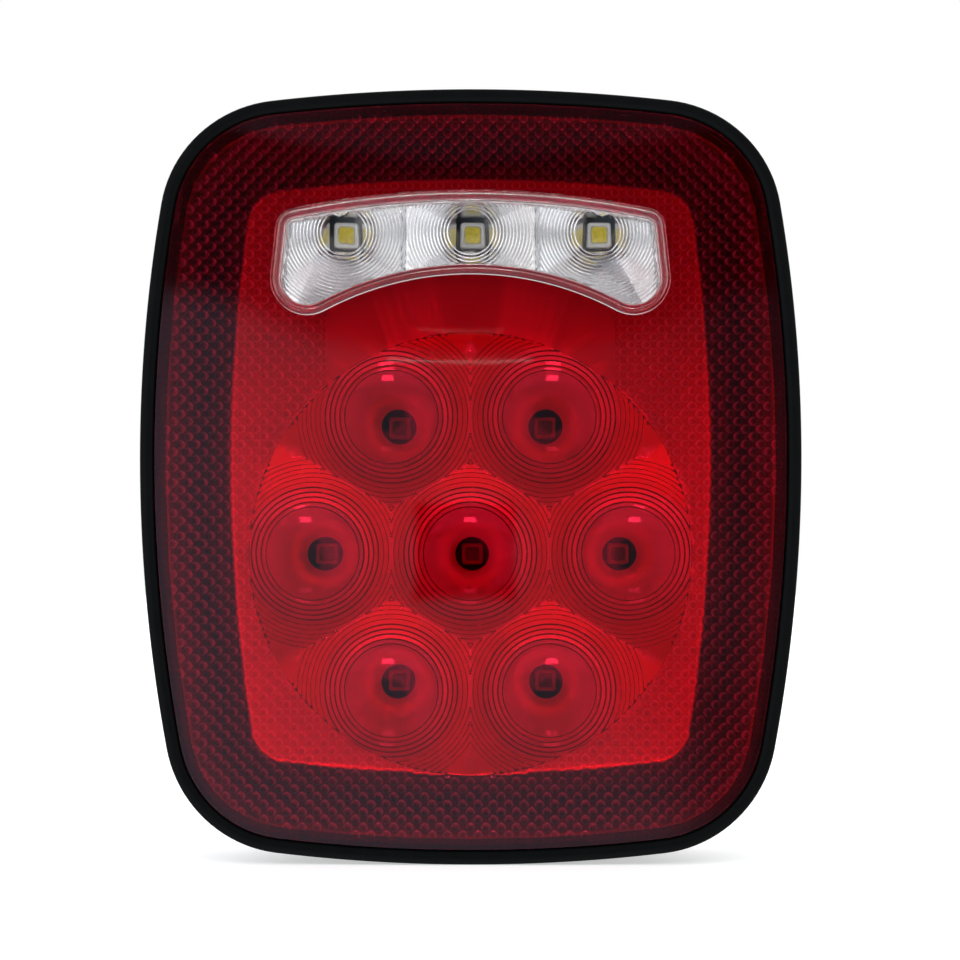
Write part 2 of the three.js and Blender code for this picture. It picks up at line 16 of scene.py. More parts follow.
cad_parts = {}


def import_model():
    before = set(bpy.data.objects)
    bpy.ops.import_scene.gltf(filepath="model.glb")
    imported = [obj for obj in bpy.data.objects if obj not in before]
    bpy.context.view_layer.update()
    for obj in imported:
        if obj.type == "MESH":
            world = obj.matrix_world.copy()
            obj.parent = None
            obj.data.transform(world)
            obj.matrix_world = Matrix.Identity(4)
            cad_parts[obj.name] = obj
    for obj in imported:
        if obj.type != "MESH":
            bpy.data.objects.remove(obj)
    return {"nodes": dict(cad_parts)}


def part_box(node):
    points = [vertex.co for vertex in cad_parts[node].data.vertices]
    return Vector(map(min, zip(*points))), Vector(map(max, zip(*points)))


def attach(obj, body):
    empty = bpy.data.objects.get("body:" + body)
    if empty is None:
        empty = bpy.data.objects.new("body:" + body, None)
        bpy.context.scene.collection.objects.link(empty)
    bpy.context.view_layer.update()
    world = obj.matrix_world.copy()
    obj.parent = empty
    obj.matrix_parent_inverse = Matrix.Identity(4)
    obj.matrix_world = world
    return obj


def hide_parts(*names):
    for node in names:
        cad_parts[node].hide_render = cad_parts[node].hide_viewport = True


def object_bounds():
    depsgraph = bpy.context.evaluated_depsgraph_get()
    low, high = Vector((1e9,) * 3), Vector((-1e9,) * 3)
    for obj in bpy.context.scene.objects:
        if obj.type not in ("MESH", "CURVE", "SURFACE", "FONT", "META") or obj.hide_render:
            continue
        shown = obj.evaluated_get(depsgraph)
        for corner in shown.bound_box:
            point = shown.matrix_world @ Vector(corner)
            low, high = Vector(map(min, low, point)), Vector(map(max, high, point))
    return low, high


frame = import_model()
CAD_BOX = [list(corner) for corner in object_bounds()]

MM = 0.001
GAP = 0.3

# ---- sizes from the frame


def lamp_box(node):
    """A CAD node's lowest and highest (u, v, d), in lamp millimetres."""
    low, high = (np.array(corner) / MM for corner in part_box(node))
    return np.array([low[0], low[2], -high[1]]), np.array([high[0], high[2], -low[1]])


def plan_centre(node):
    """The (u, v) in the middle of a CAD node's box."""
    low, high = lamp_box(node)
    return (low[:2] + high[:2]) / 2


HOUSING_LOW, HOUSING_HIGH = lamp_box("housing")
LENS_LOW, LENS_HIGH = lamp_box("red_lens")
BEZEL_LOW, BEZEL_HIGH = lamp_box("main_reflector")
RED_PLACES = np.array([plan_centre(f"red_led_{k}") for k in range(1, 8)])
OPTIC_CENTRE = RED_PLACES[0]
OPTIC_RADIUS = 55.0

# Bowed rectangles: sides and ends on large circles, round corners, a little wider at the top.
KEYSTONE = 0.00018
LAMP = dict(half_width=82.5, half_height=96.75, side_radius=391.0, end_radius=424.0, corner=31.6)
BEZEL = dict(half_width=60.2, half_height=74.5, side_radius=430.0, end_radius=402.0, corner=9.0)

# Depths and insets of the housing and the lens, as in the CAD.
BACK = HOUSING_LOW[2]
FLOOR = BACK + 2.5
RIM_FRONT = HOUSING_HIGH[2]
FLANGE_BACK = 34.0
LENS_LEDGE = 37.7
LENS_FOOT = LENS_LOW[2]
LENS_FRONT = LENS_HIGH[2]
LENS_INSET = 3.8
LENS_THICKNESS = 2.5
SKIRT_THICKNESS = 1.1
CROWN_FALL = 3.5
REFLECTOR_FRONT = BEZEL_HIGH[2]
REFLECTOR_SKIN = 1.2

# Reversing window.
WINDOW = dict(top=71.1, top_radius=222.0, bottom=49.6, bottom_radius=77.0, side=55.0)
WINDOW_LEAN = math.radians(6)
WINDOW_TOP_CORNER = 5.0
WINDOW_LOBE = 9.5
WINDOW_SEAT = 2.6

# ---- outlines


def around(centre, radii, angles):
    """Points about a centre, at one radius or at a radius for each angle."""
    return np.stack([centre[0] + radii * np.cos(angles), centre[1] + radii * np.sin(angles)], 1)


def arc(centre, radius, start, stop, steps):
    """Points on an arc from one angle to another, without the last one."""
    return around(centre, radius, start + (stop - start) * np.arange(steps) / steps)


def angle_of(point):
    return math.atan2(point[1], point[0])


def circles_cross(p, rp, q, rq):
    """Where two circles cross, on the side with positive u and v."""
    gap = np.linalg.norm(q - p)
    along = (q - p) / gap
    t = (rp**2 - rq**2 + gap**2) / (2 * gap)
    rise = math.sqrt(rp**2 - t**2) * np.array([-along[1], along[0]])
    return max((p + along * t + rise, p + along * t - rise), key=min)


def bowed_outline(inset, form=LAMP, steps=(16, 20, 16)):
    """A bowed rectangle's outline at an inset, counterclockwise from its rightmost point."""
    side = np.array([form["half_width"] - form["side_radius"], 0.0])
    end = np.array([0.0, form["half_height"] - form["end_radius"]])
    r = form["corner"]
    corner = circles_cross(side, form["side_radius"] - r, end, form["end_radius"] - r)
    leave, meet = angle_of(corner - side), angle_of(corner - end)
    quarter = np.concatenate([
        arc(side, form["side_radius"] - inset, 0, leave, steps[0]),
        arc(corner, r - inset, leave, meet, steps[1]),
        arc(end, form["end_radius"] - inset, meet, math.pi / 2, steps[2]),
        [[0, form["half_height"] - inset]],
    ])
    half = np.concatenate([quarter, (quarter * [-1, 1])[::-1][1:]])
    whole = np.concatenate([half, (half * [1, -1])[::-1][1:-1]])
    return whole * np.stack([1 + KEYSTONE * whole[:, 1], np.ones(len(whole))], 1)


def line_meets_circle(normal, reach, centre, radius):
    """The upper point of a line, given by its normal and reach, that is radius from a centre."""
    along = np.array([-normal[1], normal[0]])
    back = normal * reach - centre
    b = back @ along
    return normal * reach + along * (-b + math.sqrt(b * b - back @ back + radius**2))


def window_outline(offset=0.0):
    """The reversing window's outline, counterclockwise from the middle of its lower edge."""
    normal = np.array([math.cos(WINDOW_LEAN), math.sin(WINDOW_LEAN)])
    over = np.array([0.0, WINDOW["top"] - WINDOW["top_radius"]])
    under = np.array([0.0, WINDOW["bottom"] - WINDOW["bottom_radius"]])
    corner = line_meets_circle(
        normal, WINDOW["side"] - WINDOW_TOP_CORNER, over, WINDOW["top_radius"] - WINDOW_TOP_CORNER)
    lobe = line_meets_circle(
        normal, WINDOW["side"] - WINDOW_LOBE, under, WINDOW["bottom_radius"] + WINDOW_LOBE)
    to_lobe, to_corner = angle_of(lobe - under), angle_of(corner - over)
    lower = arc(under, WINDOW["bottom_radius"] - offset, math.pi / 2, to_lobe, 28)
    right = np.concatenate([
        lower[1:],
        arc(lobe, WINDOW_LOBE + offset, to_lobe + math.pi, WINDOW_LEAN + 2 * math.pi, 24),
        [lobe + normal * (WINDOW_LOBE + offset)],
        arc(corner, WINDOW_TOP_CORNER + offset, WINDOW_LEAN, to_corner, 12),
        arc(over, WINDOW["top_radius"] + offset, to_corner, math.pi / 2, 32),
    ])
    top = [[0, WINDOW["top"] + offset]]
    return np.concatenate([lower[:1], right, top, (right * [-1, 1])[::-1]])


def rounded_box(centre, half_width, half_height, radius, steps=6):
    """A rectangle's outline with round corners, counterclockwise."""
    corners = []
    for k, (su, sv) in enumerate([(1, -1), (1, 1), (-1, 1), (-1, -1)]):
        middle = [centre[0] + su * (half_width - radius), centre[1] + sv * (half_height - radius)]
        start = (k - 1) * math.pi / 2
        corners.append(around(middle, radius, start + np.linspace(0, math.pi / 2, steps + 1)))
    return np.concatenate(corners)


def circle(centre, radius, steps=48):
    return arc(centre, radius, 0, 2 * math.pi, steps)


def inside(points, outline):
    """Which points lie inside a closed outline."""
    result = np.zeros(len(points), bool)
    x, y = points[:, 0], points[:, 1]
    for (x1, y1), (x2, y2) in zip(outline, np.roll(outline, -1, 0)):
        crosses = (y1 > y) != (y2 > y)
        with np.errstate(divide="ignore", invalid="ignore"):
            result ^= crosses & (x < (x2 - x1) * (y - y1) / (y2 - y1) + x1)
    return result


def filleted(profile, radius, steps=5):
    """An open profile with each inner corner rounded."""
    points = [np.array(p, float) for p in profile]
    out = [points[0]]
    for before, here, after in zip(points, points[1:], points[2:]):
        a, b = before - here, after - here
        la, lb = np.linalg.norm(a), np.linalg.norm(b)
        a, b = a / la, b / lb
        half_angle = math.acos(np.clip(a @ b, -1, 1)) / 2
        reach = min(radius / math.tan(half_angle), la * 0.45, lb * 0.45)
        for t in np.linspace(0, 1, steps):
            out.append(here + a * reach * (1 - t) ** 2 + b * reach * t**2)
    return np.array([*out, points[-1]])


# ---- mesh building


class Shape:
    """Collects points and faces in lamp millimetres, then becomes one riding, painted piece."""

    def __init__(self):
        self.points = []
        self.faces = []

    def add(self, points, faces):
        start = len(self.points)
        self.points.extend(np.asarray(points, float).tolist())
        self.faces.extend([[start + i for i in face] for face in faces])

    def loft(self, rings, closed=False):
        """Quads between rings of equal point counts. A closed loft joins its last ring to its first."""
        count = len(rings[0])
        bands = len(rings) if closed else len(rings) - 1
        faces = []
        for i in range(bands):
            here, there = i * count, (i + 1) % len(rings) * count
            faces += [[here + j, here + (j + 1) % count, there + (j + 1) % count, there + j]
                      for j in range(count)]
        self.add(np.concatenate(rings), faces)

    def sheet(self, plan, depth, loops, keep, turn=False):
        """A triangulated sheet over plan points. depth gives its height, and keep which part stays."""
        edges, start = [], len(plan)
        for loop in loops:
            edges += [(start + k, start + (k + 1) % len(loop)) for k in range(len(loop))]
            start += len(loop)
        every = np.concatenate([plan, *loops]) if len(plan) else np.concatenate(loops)
        result = delaunay_2d_cdt([Vector(p) for p in every], edges, [], 0, 1e-6)
        flat = np.array([list(p) for p in result[0]])
        triangles = np.array(result[2])
        middles = flat[triangles].mean(1)
        triangles = triangles[keep(middles)]
        if turn:
            triangles = triangles[:, ::-1]
        self.add(np.column_stack([flat, depth(flat)]), triangles.tolist())

    def piece(self, name, material, replaces=None, body="lamp", crease=40.0):
        """Joins the parts, and puts the piece on its body in place of a CAD node."""
        points = np.array(self.points)
        world = np.stack([points[:, 0], -points[:, 2], points[:, 1]], 1) * MM
        mesh = bpy.data.meshes.new(name)
        mesh.from_pydata(world.tolist(), [], self.faces)
        work = bmesh.new()
        work.from_mesh(mesh)
        bmesh.ops.remove_doubles(work, verts=work.verts, dist=2e-6)
        loose = [v for v in work.verts if not v.link_faces]
        bmesh.ops.delete(work, geom=loose, context="VERTS")
        bmesh.ops.recalc_face_normals(work, faces=work.faces)
        work.to_mesh(mesh)
        work.free()
        mesh.shade_smooth()
        mesh.set_sharp_from_angle(angle=math.radians(crease))
        mesh.materials.append(MATERIALS[material])
        made = bpy.data.objects.new(name, mesh)
        bpy.context.scene.collection.objects.link(made)
        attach(made, body)
        if replaces:
            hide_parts(replaces)
        return made


def face_places(made):
    """A piece's face centres in plan, their depths, and their normals in world axes."""
    centres = np.array([list(face.center) for face in made.data.polygons]) / MM
    normals = np.array([list(face.normal) for face in made.data.polygons])
    return centres[:, [0, 2]], -centres[:, 1], normals


def paint_faces(made, indices, *materials):
    """Adds materials after a piece's own, and gives each face its index."""
    for material in materials:
        made.data.materials.append(MATERIALS[material])
    made.data.polygons.foreach_set("material_index", np.asarray(indices).astype(np.int32))


def ring(outline, depth):
    """An outline lifted to a depth, which is a number or one value a point."""
    return np.column_stack([outline, np.broadcast_to(depth, len(outline))])


def turned_rings(profile, centre, steps=64):
    """Rings of a profile of (radius, depth) pairs turned about a forward axis."""
    return [ring(circle(centre, radius, steps), depth) for radius, depth in profile]


def flat_sheet(shape, outline, holes, depth, turn=False):
    """A flat face inside an outline and outside its holes."""
    def keep(middles):
        kept = inside(middles, outline)
        for hole in holes:
            kept &= ~inside(middles, hole)
        return kept
    shape.sheet(np.empty((0, 2)), lambda p: np.full(len(p), depth), [outline, *holes], keep, turn)


def drilled_plate(shape, holes, back, front):
    """Two flat faces, each an (outline, depth), with holes right through."""
    flat_sheet(shape, back[0], holes, back[1], turn=True)
    flat_sheet(shape, front[0], holes, front[1])
    for hole in holes:
        shape.loft([ring(hole, back[1]), ring(hole, front[1])])


def closed_turning(shape, rings):
    """Adds rings as a closed loft, with a fan over each end."""
    shape.loft(rings)
    for end, turn in ((rings[0], True), (rings[-1], False)):
        count = len(end)
        faces = [[k, (k + 1) % count, count] for k in range(count)]
        shape.add(np.concatenate([end, [end.mean(0)]]), [f[::-1] for f in faces] if turn else faces)


def rear_holes(stud, half_width, half_height):
    """Outlines of the holes for the three studs, of one radius, and for the inlet."""
    studs = [circle(plan_centre(f"mounting_stud_{k}"), stud) for k in (1, 2, 3)]
    return [*studs, rounded_box(plan_centre("inlet_socket"), half_width, half_height, 2.3)]


# ---- materials


class Graph:
    """Adds nodes to one node tree and joins them."""

    def __init__(self, tree):
        self.tree = tree

    def node(self, kind, inputs=None, **settings):
        made = self.tree.nodes.new("ShaderNode" + kind)
        for key, value in settings.items():
            setattr(made, key, value)
        for key, value in (inputs or {}).items():
            self.set(made.inputs[key], value)
        return made

    def set(self, socket, value):
        if isinstance(value, bpy.types.NodeSocket):
            self.tree.links.new(value, socket)
        else:
            socket.default_value = value

    def math(self, operation, *values):
        return self.node("Math", dict(enumerate(values)), operation=operation).outputs[0]

    def total(self, *values):
        return reduce(lambda a, b: self.math("ADD", a, b), values)

    def product(self, *values):
        return reduce(lambda a, b: self.math("MULTIPLY", a, b), values)

    def less(self, a, b):
        return self.math("SUBTRACT", a, b)

    def length(self, a, b):
        return self.math("SQRT", self.total(self.product(a, a), self.product(b, b)))

    def remap(self, value, low, high, to_low, to_high, smooth=False):
        inputs = {"Value": value, "From Min": low, "From Max": high, "To Min": to_low, "To Max": to_high}
        kind = "SMOOTHSTEP" if smooth else "LINEAR"
        return self.node("MapRange", inputs, interpolation_type=kind).outputs["Result"]

    def mix(self, factor, a, b, blend="MIX"):
        made = self.node("Mix", data_type="RGBA", blend_type=blend)
        for key, value in ((0, factor), (6, a), (7, b)):
            self.set(made.inputs[key], value)
        return made.outputs[2]

    def place(self):
        return self.node("TexCoord").outputs["Object"]

    def noise(self, size_mm, detail=3.0):
        inputs = {"Vector": self.place(), "Scale": 1 / (size_mm * MM), "Detail": detail, "Roughness": 0.55}
        return self.node("TexNoise", inputs).outputs[0]


def rgb(r, g, b):
    return (r, g, b, 1.0)


def shaded(color, amount):
    """A colour made lighter or darker by a share."""
    return tuple(min(1.0, c * (1 + amount)) for c in color[:3]) + (1.0,)


def opened(material):
    """A material's graph, its shader's inputs, and what feeds the base colour."""
    inputs = material.node_tree.nodes["Principled BSDF"].inputs
    links = inputs["Base Color"].links
    return Graph(material.node_tree), inputs, links[0].from_socket if links else None


def surface(name, color, roughness, mottle=0.15, mottle_mm=6.0, grain_mm=0.4, grain=0.004, spread=0.06,
            fixed=None):
    """A material with mottled colour, uneven roughness and a fine raised grain, in millimetres."""
    made = bpy.data.materials.new(name)
    made.use_nodes = True
    graph, inputs, _ = opened(made)
    broad = graph.remap(graph.noise(mottle_mm), 0.3, 0.7, 0.0, 1.0)
    fine = graph.noise(grain_mm, detail=2.0)
    graph.set(inputs["Base Color"], graph.mix(broad, shaded(color, -mottle), shaded(color, mottle)))
    graph.set(inputs["Roughness"], graph.remap(broad, 0, 1, roughness - spread, roughness + spread))
    bump = graph.node("Bump", {"Height": fine, "Strength": 1.0, "Distance": grain * MM})
    graph.set(inputs["Normal"], bump.outputs[0])
    for key, value in (fixed or {}).items():
        inputs[key].default_value = value
    return made


METAL = {"Metallic": 1.0}


def solder_mask():
    """Black solder mask, a little paler along its copper tracks."""
    made = surface("black_solder_mask", rgb(0.012, 0.014, 0.015), 0.38, grain_mm=0.3)
    graph, inputs, base = opened(made)
    cells = graph.node("TexVoronoi", {"Vector": graph.place(), "Scale": 1 / (7 * MM)},
                       feature="DISTANCE_TO_EDGE", distance="CHEBYCHEV").outputs[0]
    tracks = graph.remap(cells, 0.04, 0.07, 1.0, 0.0, smooth=True)
    graph.set(inputs["Base Color"], graph.mix(tracks, base, rgb(0.03, 0.034, 0.03)))
    return made


def zinc_plate():
    """Zinc plating: bright spangle with a faint warm and cool tint."""
    made = surface("zinc_plated_steel", rgb(0.62, 0.62, 0.6), 0.3, mottle=0.08, grain_mm=0.25, grain=0.006,
                   fixed=METAL)
    graph, inputs, base = opened(made)
    tint = graph.remap(graph.noise(3.0, detail=1.0), 0.35, 0.65, 0.0, 1.0, smooth=True)
    warm = graph.mix(tint, rgb(0.66, 0.62, 0.5), rgb(0.55, 0.6, 0.64))
    graph.set(inputs["Base Color"], graph.mix(0.45, base, warm))
    return made


TRANSPARENT = {"Transmission Weight": 1.0, "IOR": 1.58}

# Pillows: a lattice of low round bumps turned by 45 degrees over the rest of the inner side.
PILLOW_PITCH = 2.69
PILLOW_RADIUS = 1.22
PILLOW_BULGE = 0.13

# The plain band between the optic and the window: its half width, and its middle and half height.
BAND_HALF_WIDTH = 36.0
BAND_MIDDLE, BAND_HALF_HEIGHT = 18.0, 38.0
BAND_ROUGHNESS = 0.55


def lens_optics():
    """Red lens inner side: a painted highlight ring per pillow cell, a satin band, painted shade at the
    top.
    """
    made = surface("red_lens_optics", rgb(0.8, 0.0004, 0.03), 0.035, mottle=0.04, mottle_mm=25.0,
                   grain_mm=3.0, spread=0.02, fixed=TRANSPARENT)
    graph, inputs, base = opened(made)
    x, _, z = graph.node("SeparateXYZ", {0: graph.place()}).outputs
    u, v = graph.math("DIVIDE", x, MM), graph.math("DIVIDE", z, MM)

    def off_lattice(value):
        cells = graph.math("DIVIDE", value, PILLOW_PITCH * math.sqrt(2))
        return graph.product(graph.less(cells, graph.math("ROUND", cells)), PILLOW_PITCH)

    def beyond(value, limit):
        return graph.math("GREATER_THAN", value, limit)

    distance = graph.length(off_lattice(graph.total(u, v)), off_lattice(graph.less(v, u)))
    rise = graph.remap(distance, 0.55, 0.95, 0, 1, smooth=True)
    fall = graph.remap(distance, 1.05, 1.4, 1, 0, smooth=True)
    off_optic = beyond(graph.length(u, graph.less(v, float(OPTIC_CENTRE[1]))), OPTIC_RADIUS)
    sideways = beyond(graph.math("ABSOLUTE", u), BAND_HALF_WIDTH)
    elsewhere = beyond(graph.math("ABSOLUTE", graph.less(v, BAND_MIDDLE)), BAND_HALF_HEIGHT)
    off_band = graph.math("MAXIMUM", sideways, elsewhere)
    band = graph.product(off_optic, graph.less(1.0, off_band), BAND_ROUGHNESS)
    gloss = inputs["Roughness"].links[0].from_socket
    graph.set(inputs["Roughness"], graph.math("MAXIMUM", gloss, band))
    # Painted highlight: a pale pink ring in each pillow cell, standing in for the light its bump mirrors.
    pale = graph.product(rise, fall, off_optic, off_band, 0.6)
    ringed = graph.mix(pale, base, rgb(1.0, 0.13, 0.18))
    # Painted shade: the colour is darker towards the top and lighter towards the bottom, for light from
    # below.
    shade = graph.remap(v, -5.0, 55.0, 1.14, 0.52, smooth=True)
    graph.set(inputs["Base Color"], graph.mix(1.0, ringed, shade, "MULTIPLY"))
    return made


MATERIALS = {
    "housing": surface("black_housing", rgb(0.0028, 0.0035, 0.0036), 0.5, grain_mm=0.35, grain=0.012,
                       fixed={"Specular IOR Level": 0.06}),
    "housing_inside": surface("matt_black_housing", rgb(0.19, 0.19, 0.19), 0.6, grain_mm=0.35, grain=0.012),
    "red_lens": surface("red_lens", rgb(0.9, 0.02, 0.07), 0.025, mottle=0.04, mottle_mm=25.0, grain_mm=3.0,
                        grain=0.0006, spread=0.008, fixed=TRANSPARENT),
    "lens_optics": lens_optics(),
    # Painted shade: the lens's steep faces are opaque dark red, standing in for the dark lines they show.
    "lens_step": surface("red_lens_step_painted_shade", rgb(0.17, 0.0004, 0.008), 0.25, mottle=0.1, mottle_mm=4.0,
                         grain_mm=1.0, spread=0.04),
    "clear_window": surface("clear_window", rgb(0.99, 0.975, 0.96), 0.03, mottle=0.02, mottle_mm=20.0,
                            grain_mm=3.0, grain=0.003, spread=0.02, fixed=TRANSPARENT),
    # Painted reflection: the window's slanted lip faces are tinted pink for the red light they mirror.
    "window_step": surface("clear_window_step_painted_reflection", rgb(0.86, 0.74, 0.74), 0.2, mottle=0.1, mottle_mm=2.0,
                           grain_mm=0.6, spread=0.05, fixed=TRANSPARENT),
    "sealant": surface("black_sealant", rgb(0.02, 0.02, 0.021), 0.7, grain_mm=0.8, grain=0.08),
    "metallised": surface("metallised_plastic", rgb(0.92, 0.92, 0.93), 0.24, mottle=0.03, mottle_mm=9.0,
                          grain_mm=2.5, grain=0.02, spread=0.04, fixed=METAL),
    "satin_metallised": surface("satin_metallised_plastic", rgb(0.62, 0.6, 0.6), 0.6, mottle=0.04,
                                mottle_mm=12.0, grain_mm=0.5, spread=0.04, fixed=METAL),
    "cup_metallised": surface("cup_metallised_plastic", rgb(0.93, 0.93, 0.94), 0.42, mottle=0.03,
                              mottle_mm=9.0, grain_mm=2.5, grain=0.02, spread=0.04,
                              fixed={"Metallic": 0.45}),
    "board": solder_mask(),
    "red_led": surface("red_led_package", rgb(0.8, 0.78, 0.72), 0.45, grain_mm=0.15),
    "white_led": surface("white_led_package", rgb(0.85, 0.84, 0.8), 0.45, grain_mm=0.15),
    "red_die": surface("red_led_window", rgb(0.22, 0.05, 0.04), 0.12, mottle=0.3, mottle_mm=0.8,
                       grain_mm=0.3),
    "phosphor": surface("phosphor", rgb(0.86, 0.68, 0.05), 0.35, mottle=0.18, mottle_mm=0.4, grain_mm=0.12,
                        grain=0.01),
    "steel": zinc_plate(),
    "component": surface("component_body", rgb(0.022, 0.022, 0.024), 0.5, grain_mm=0.2, grain=0.01),
    "capacitor": surface("capacitor_can", rgb(0.7, 0.7, 0.7), 0.3, grain_mm=0.2, grain=0.005, fixed=METAL),
    "nylon": surface("black_nylon", rgb(0.016, 0.016, 0.017), 0.5, grain_mm=0.3, grain=0.02),
    "tin": surface("tinned_brass", rgb(0.74, 0.72, 0.68), 0.28, mottle=0.1, mottle_mm=1.5, grain_mm=0.2,
                   fixed=METAL),
    "rubber": surface("black_rubber", rgb(0.018, 0.018, 0.019), 0.8, mottle=0.25, mottle_mm=9.0,
                      grain_mm=0.5, grain=0.06),
}


# ---- housing


RIM_WIDTH = 3.5
LEDGE_INSET = 7.1
BACK_INSET, FLOOR_INSET = 16.0, 20.0


def housing():
    """A tapered tub with a rolled rim, a ledge for the lens, and a drilled floor."""
    outside = filleted([
        (BACK_INSET, BACK), (12.0, BACK), (4.6, FLANGE_BACK), (0.0, FLANGE_BACK + 0.7),
        (0.0, RIM_FRONT - 0.6), (1.9, RIM_FRONT), (RIM_WIDTH, RIM_FRONT - 0.7),
        (RIM_WIDTH, LENS_LEDGE)], 1.5, steps=6)
    within = filleted([
        (RIM_WIDTH, LENS_LEDGE), (LEDGE_INSET, LENS_LEDGE), (LEDGE_INSET, FLANGE_BACK), (14.7, FLOOR),
        (FLOOR_INSET, FLOOR)], 0.8, steps=4)
    shape = Shape()
    shape.loft([ring(bowed_outline(inset), depth) for inset, depth in [*outside, *within[1:]]])
    back, floor = bowed_outline(BACK_INSET), bowed_outline(FLOOR_INSET)
    holes = rear_holes(stud=3.6, half_width=13.3, half_height=7.8)
    drilled_plate(shape, holes, (back, BACK), (floor, FLOOR))
    made = shape.piece("housing_tub", "housing", "housing", crease=35)
    plan, depth, normals = face_places(made)
    facing_in = (normals[:, 1] < 0) | ((normals[:, [0, 2]] * plan).sum(1) < 0)
    hidden = (depth > BACK + 0.5) & inside(plan, bowed_outline(LENS_INSET))
    paint_faces(made, hidden & facing_in, "housing_inside")


# ---- red lens


def share_of(plan, inset):
    """How far each plan point is from the middle towards the outline at an inset, from 0 to 1."""
    edge = bowed_outline(inset)
    angles = np.arctan2(edge[:, 1], edge[:, 0]) % (2 * math.pi)
    order = np.argsort(angles)
    reach = np.linalg.norm(edge, axis=1)[order]
    at = np.arctan2(plan[:, 1], plan[:, 0]) % (2 * math.pi)
    return np.linalg.norm(plan, axis=1) / np.interp(at, angles[order], reach, period=2 * math.pi)


def face_depth(plan, inset):
    """Depth of the lens face: a shallow bowl in the middle that turns to follow the outline at an inset."""
    share = share_of(plan, inset)
    bowl = ((plan / [LAMP["half_width"] - inset, LAMP["half_height"] - inset]) ** 2).sum(1)
    turn = np.clip((share - 0.25) / 0.75, 0, 1)
    turn = turn * turn * (3 - 2 * turn)
    return LENS_FRONT - CROWN_FALL * (bowl * (1 - turn) + share**2 * turn)


def outer_depth(plan):
    return face_depth(plan, LENS_INSET)


def inner_depth(plan):
    return face_depth(plan, LENS_INSET + SKIRT_THICKNESS) - LENS_THICKNESS


# Optics on the inner side: a dome over each LED, then Fresnel rings out to the next LED's.
DOME_RADIUS = 11.7
DOME_BULGE = 2.0
GROOVES = np.array([DOME_RADIUS, 12.95, 14.2, 15.4, 16.6, 17.8, 19.0, 20.1, 21.2, 22.3, 23.4, 24.5])
NEAR_GROOVES = 4
NEAR_STEP, FAR_STEP = 0.34, 0.13
GROOVE_CURVE = 45.0
RING_ROUND = 0.05
RISER = 0.2


def groove_at(distance):
    """Which groove each distance from the nearest LED falls in."""
    return np.clip(np.searchsorted(GROOVES, distance, side="right") - 1, 0, len(GROOVES) - 2)


def fresnel(distance):
    """How far the ring optics stand in from the lens's inner side, by distance from the nearest LED."""
    dome = DOME_BULGE * (1 - (distance / DOME_RADIUS) ** 2)
    k = groove_at(distance)
    inner, outer = GROOVES[k], GROOVES[k + 1]
    facet = (outer - distance) * (inner + outer) / 2 / GROOVE_CURVE
    return np.where(distance < DOME_RADIUS, dome, facet)


def on_riser(distance):
    """Which distances from the nearest LED fall on the steep face between two rings."""
    k = groove_at(distance)
    width = np.where(k < NEAR_GROOVES, NEAR_STEP, FAR_STEP)
    ringed = (distance > DOME_RADIUS - RISER) & (distance < GROOVES[-1])
    return ringed & ((distance > GROOVES[k + 1] - width) | (distance < GROOVES[k] + RING_ROUND))


def turned_lattice(pitch, reach=140.0):
    """Points of a square lattice turned by 45 degrees."""
    count = int(reach / pitch)
    a, b = np.meshgrid(np.arange(-count, count + 1), np.arange(-count, count + 1))
    a, b = a.ravel() * pitch / math.sqrt(2), b.ravel() * pitch / math.sqrt(2)
    return np.stack([a - b, a + b], 1)


def pillow_centres():
    """The pillows that are on the lens and off the optics, the window and the plain band."""
    centres = turned_lattice(PILLOW_PITCH)
    clear_of_optics = np.linalg.norm(centres - OPTIC_CENTRE, axis=1) > OPTIC_RADIUS + PILLOW_RADIUS + 0.1
    clear_of_window = ~inside(centres, window_outline(PILLOW_RADIUS - WINDOW_SEAT + 0.2))
    over_circle = centres[:, 1] > OPTIC_CENTRE[1]
    under_window = centres[:, 1] < WINDOW["bottom"] + 3
    band = (np.abs(centres[:, 0]) < BAND_HALF_WIDTH) & over_circle & under_window
    on_lens = inside(centres, bowed_outline(LENS_INSET + SKIRT_THICKNESS + PILLOW_RADIUS + 0.2))
    return centres[clear_of_optics & clear_of_window & ~band & on_lens]


PILLOWS = pillow_centres()


def pillow(plan):
    """How far the pillows stand in from the lens's inner side."""
    turned = np.stack([plan[:, 0] + plan[:, 1], plan[:, 1] - plan[:, 0]], 1) / math.sqrt(2)
    cell = np.round(turned / PILLOW_PITCH)
    distance = np.linalg.norm(turned - cell * PILLOW_PITCH, axis=1)
    back = cell * PILLOW_PITCH / math.sqrt(2)
    centres = np.stack([back[:, 0] - back[:, 1], back[:, 0] + back[:, 1]], 1)
    present = {tuple(key) for key in np.round(PILLOWS * 10).astype(int)}
    on = np.array([tuple(key) in present for key in np.round(centres * 10).astype(int)])
    bump = PILLOW_BULGE * (1 - (distance / PILLOW_RADIUS) ** 2)
    return np.where(on & (distance < PILLOW_RADIUS), bump, 0)


def nearest(plan, places):
    """How far each plan point is from the nearest of some places."""
    return np.linalg.norm(plan[:, None] - places[None], axis=2).min(1)


def lens_relief(plan):
    optic = np.linalg.norm(plan - OPTIC_CENTRE, axis=1) < OPTIC_RADIUS
    return np.where(optic, fresnel(nearest(plan, RED_PLACES)), pillow(plan))


def ring_points(place, places, radii, steps):
    """Points on circles about one place that no other place is nearer to."""
    points = np.concatenate([circle(place, r, steps if r > 6 else steps // 3) for r in radii])
    others = places[np.linalg.norm(places - place, axis=1) > RISER]
    return points[np.linalg.norm(points - place, axis=1) < nearest(points, others) - 0.02]


